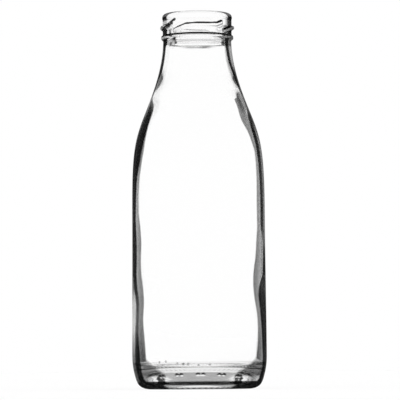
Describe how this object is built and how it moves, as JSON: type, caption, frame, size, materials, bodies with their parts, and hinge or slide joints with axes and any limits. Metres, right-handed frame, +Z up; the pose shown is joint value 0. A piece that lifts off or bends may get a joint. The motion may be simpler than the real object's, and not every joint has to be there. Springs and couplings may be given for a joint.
{
  "type": "glass milk bottle",
  "caption": "Tall clear glass milk bottle with a sloping shoulder, a short neck, a lug twist-off mouth and a knurled standing ring under a domed base.",
  "frame": {"origin": "on the bottle's axis, in the plane of the standing ring, which is the surface that the bottle stands on", "axes": "+Z up along the bottle's axis, out of the mouth; -Y is the side that the front view shows"},
  "size_m": [0.0888, 0.0888, 0.2486],
  "materials": {
    "clear_glass": "clear, fire-polished, gently wavy inside"
  },
  "bodies": {
    "root": {"glass_bottle": "clear_glass"}
  },
  "joints": []
}
